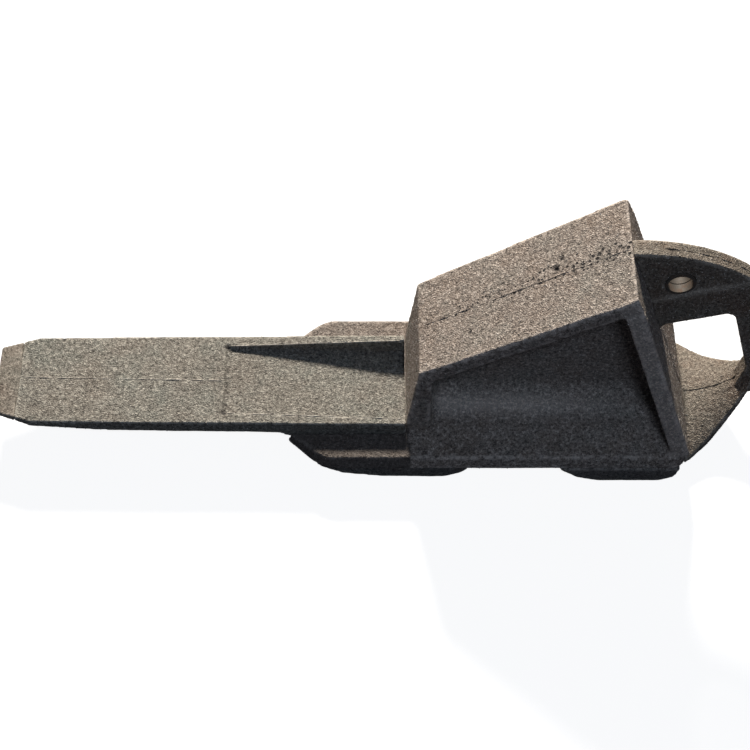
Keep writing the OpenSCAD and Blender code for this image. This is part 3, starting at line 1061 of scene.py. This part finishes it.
top_path = [tuple(top_spot(0.02 + 0.96 * k / 70, 0.5 * MM)) for k in range(71)]
wall_path = straight_path(wall_top, wall_foot, 0.46, 0.98, 29)
lip_path = [(9.7 * MM, LIP_HALF * (k / 15 - 1) * MM, 33.2 * MM) for k in range(31)]
holder_ridge = ridge("holder_ridge", "holder_paths", [top_path, wall_path, lip_path], 0.35 * MM, 1.2 * MM,
                     HOLDER_STEEL)
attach(holder_ridge, "holder_body")

# %% [markdown]
# ## Sand crumbs
#
# A few grains burn onto the steel and survive the shot blasting. They are what glints on the dark sides.
# Each is a tiny twenty-sided ball, so thousands stay cheap. A second tree scatters them over a copy of
# the skin, turns and sizes each one at random from a fixed seed, and makes them real.

# %% Crumb tree
FULL_TURN = 6.28


def crumb_tree():
    """Skin in, scattered grains out. Gives back the tree and the identifiers of its named inputs."""
    tree = bpy.data.node_groups.new("sand_crumbs", "GeometryNodeTree")
    tree.interface.new_socket(name="Geometry", in_out="INPUT", socket_type="NodeSocketGeometry")
    keys = {
        "density": float_input(tree, "Crumbs per square metre", 30000.0),
        "small": float_input(tree, "Smallest", 0.18 * MM),
        "large": float_input(tree, "Largest", 0.50 * MM),
        "seed": float_input(tree, "Seed", 1, "NodeSocketInt"),
        "material": float_input(tree, "Material", None, "NodeSocketMaterial"),
    }
    tree.interface.new_socket(name="Geometry", in_out="OUTPUT", socket_type="NodeSocketGeometry")
    add = tree.nodes.new
    link = tree.links.new
    given = add("NodeGroupInput")
    out = add("NodeGroupOutput")
    scatter = add("GeometryNodeDistributePointsOnFaces")
    ball = add("GeometryNodeMeshIcoSphere")
    ball.inputs["Radius"].default_value = 1.0
    ball.inputs["Subdivisions"].default_value = 1
    size = add("FunctionNodeRandomValue")
    turn = add("FunctionNodeRandomValue")
    turn.data_type = "FLOAT_VECTOR"
    turn.inputs["Max"].default_value = (FULL_TURN, FULL_TURN, FULL_TURN)
    place = add("GeometryNodeInstanceOnPoints")
    real = add("GeometryNodeRealizeInstances")
    finish = add("GeometryNodeSetMaterial")
    link(given.outputs["Geometry"], scatter.inputs["Mesh"])
    link(given.outputs["Crumbs per square metre"], scatter.inputs["Density"])
    link(given.outputs["Seed"], scatter.inputs["Seed"])
    link(given.outputs["Seed"], size.inputs["Seed"])
    link(given.outputs["Smallest"], size.inputs["Min"])
    link(given.outputs["Largest"], size.inputs["Max"])
    link(scatter.outputs["Points"], place.inputs["Points"])
    link(ball.outputs["Mesh"], place.inputs["Instance"])
    link(turn.outputs["Value"], place.inputs["Rotation"])
    link(size.outputs[1], place.inputs["Scale"])
    link(place.outputs["Instances"], real.inputs["Geometry"])
    link(real.outputs["Geometry"], finish.inputs["Geometry"])
    link(given.outputs["Material"], finish.inputs["Material"])
    link(finish.outputs["Geometry"], out.inputs["Geometry"])
    return tree, keys


CRUMB_TREE, CRUMB_KEYS = crumb_tree()
CRUMB_SKIN = cast_steel(
    "burnt_sand", body=(0.38, 0.34, 0.30), light=(0.75, 0.70, 0.64), dark=(0.16, 0.13, 0.11),
    warm=(0.34, 0.26, 0.20), warmth=0.4, bump=0.2, rough=0.38)
print("tree", CRUMB_TREE.name, "inputs", sorted(CRUMB_KEYS))


# %% Scatter the crumbs
CRUMB_R = (0.14 * MM, 0.38 * MM)


def scatter_crumbs(name, skin, node, body, density, seed):
    crumbs = bake(name, skin.data.copy(), CRUMB_TREE, {
        CRUMB_KEYS["density"]: density,
        CRUMB_KEYS["small"]: CRUMB_R[0],
        CRUMB_KEYS["large"]: CRUMB_R[1],
        CRUMB_KEYS["seed"]: seed,
        CRUMB_KEYS["material"]: CRUMB_SKIN,
    }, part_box(node))
    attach(crumbs, body)


scatter_crumbs("holder_crumbs", holder, "holder", "holder_body", 80000.0, seed=21)
scatter_crumbs("lug_crumbs", lug, "rear_lug", "holder_body", 80000.0, seed=22)
scatter_crumbs("point_crumbs", point, "point", "point_body", 50000.0, seed=23)

# %% [markdown]
# ## Fasteners and bushes
#
# Turned parts are right as the CAD made them. They keep their shape and get a finish.

# %% Finishes for the turned parts
FINISHES = {
    "lug_bush_left": BUSH_STEEL,
    "lug_bush_right": BUSH_STEEL,
    "lock_screw": SCREW_STEEL,
    "front_pad_screws": SCREW_STEEL,
    "rear_pad_screws": SCREW_STEEL,
    "lug_screws": SCREW_STEEL,
    "lug_washers": SCREW_STEEL,
}
for node, material in FINISHES.items():
    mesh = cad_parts[node].data
    mesh.materials.clear()
    mesh.materials.append(material)
print("finished", len(FINISHES), "turned parts")
